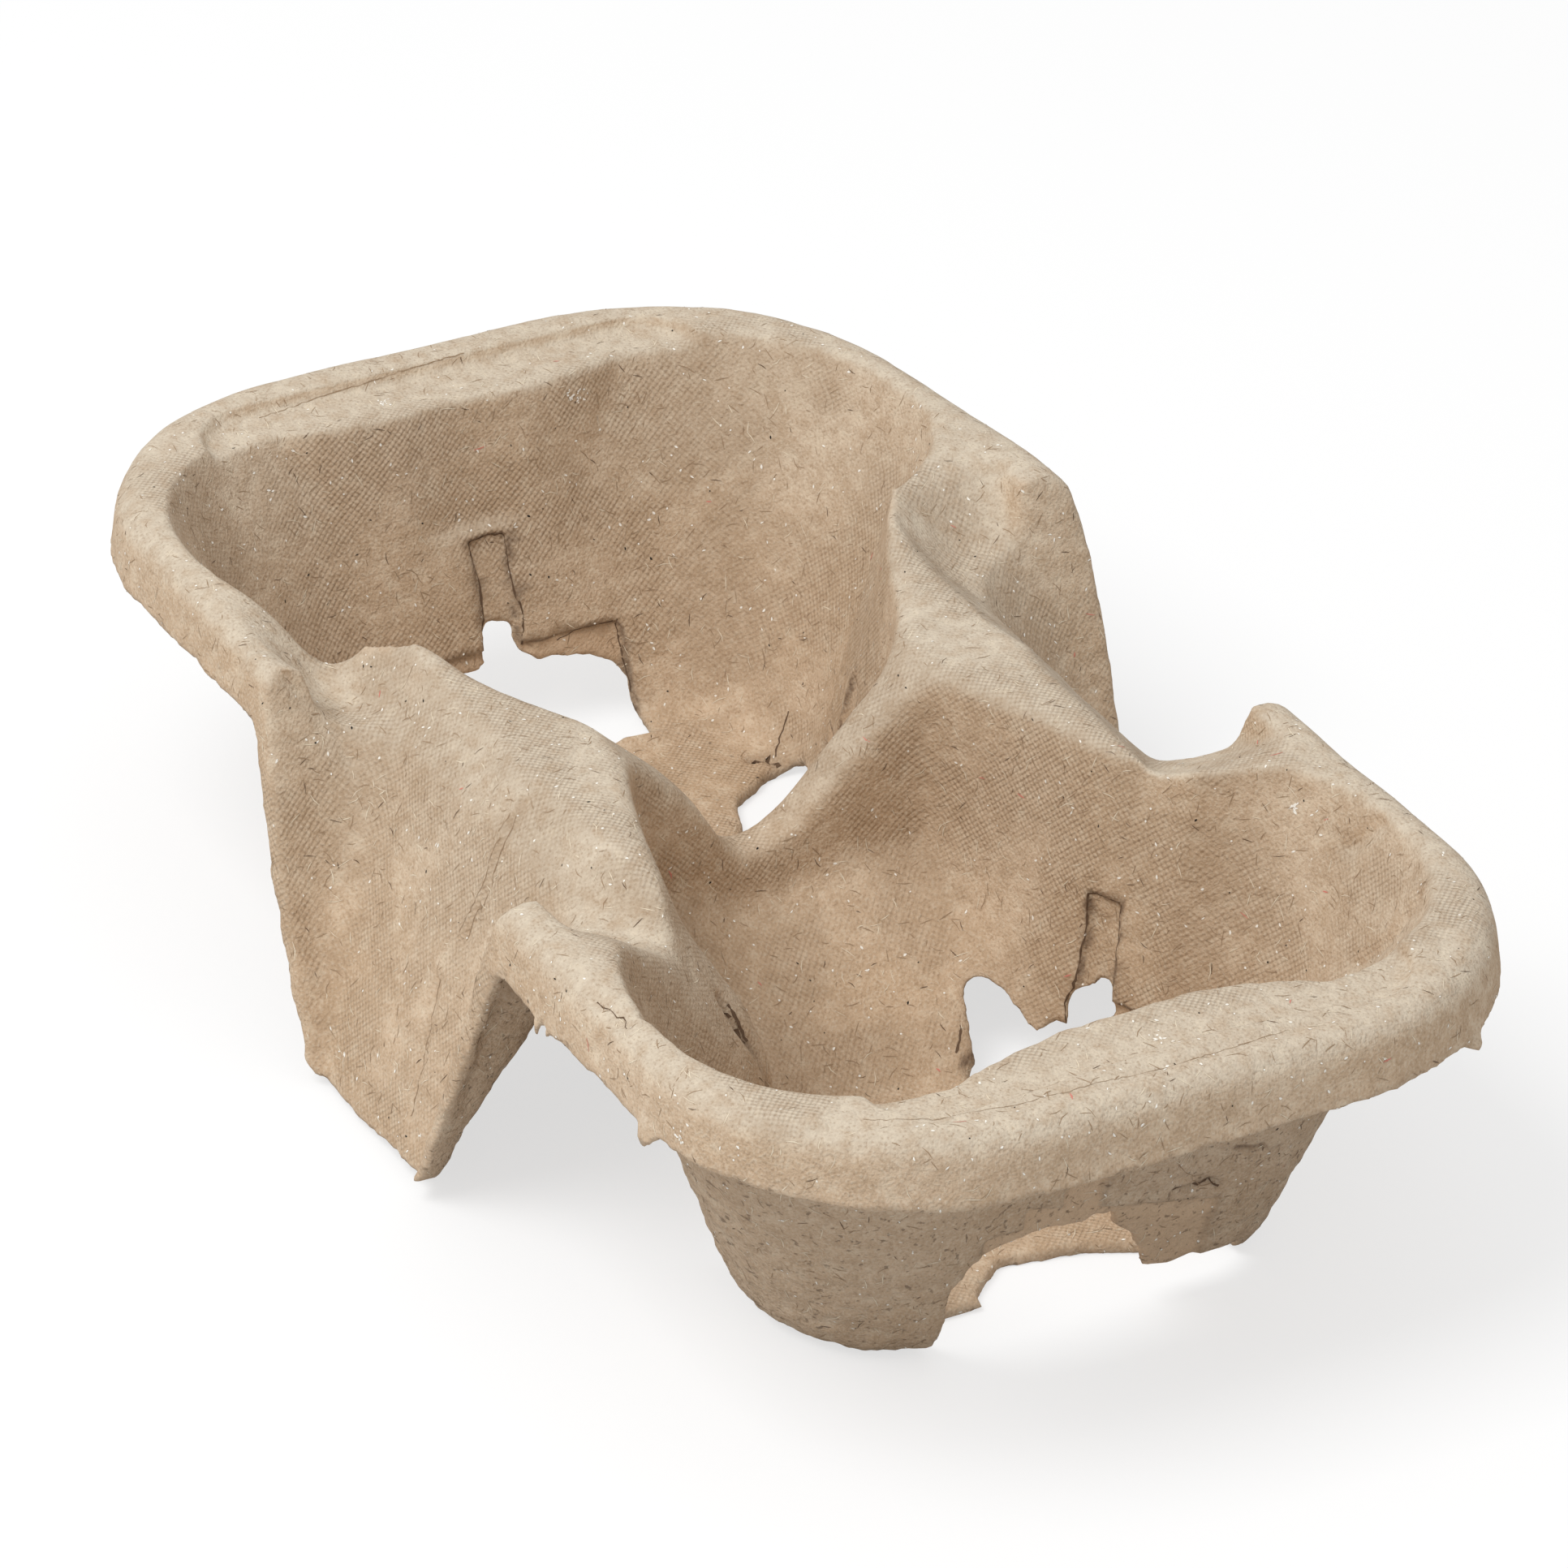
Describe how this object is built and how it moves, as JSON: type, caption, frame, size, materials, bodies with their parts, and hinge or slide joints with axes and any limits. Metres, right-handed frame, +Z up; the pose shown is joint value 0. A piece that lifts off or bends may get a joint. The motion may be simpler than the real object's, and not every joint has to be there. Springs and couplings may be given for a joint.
{
  "type": "cup carrier",
  "caption": "Moulded pulp carrier: one thin sheet with round cup wells, a skirted rim, a low saddle between raised posts, and two splayed side legs that end just above the ground.",
  "frame": {"origin": "on the ground, at the middle of the carrier's plan", "axes": "+X along the two cups, +Y across them, +Z up"},
  "size_m": [0.221, 0.122, 0.051],
  "materials": {
    "moulded_pulp": "matte recycled pulp with a screen imprint and visible fibres"
  },
  "bodies": {
    "root": {"carrier": "moulded_pulp"}
  },
  "joints": []
}
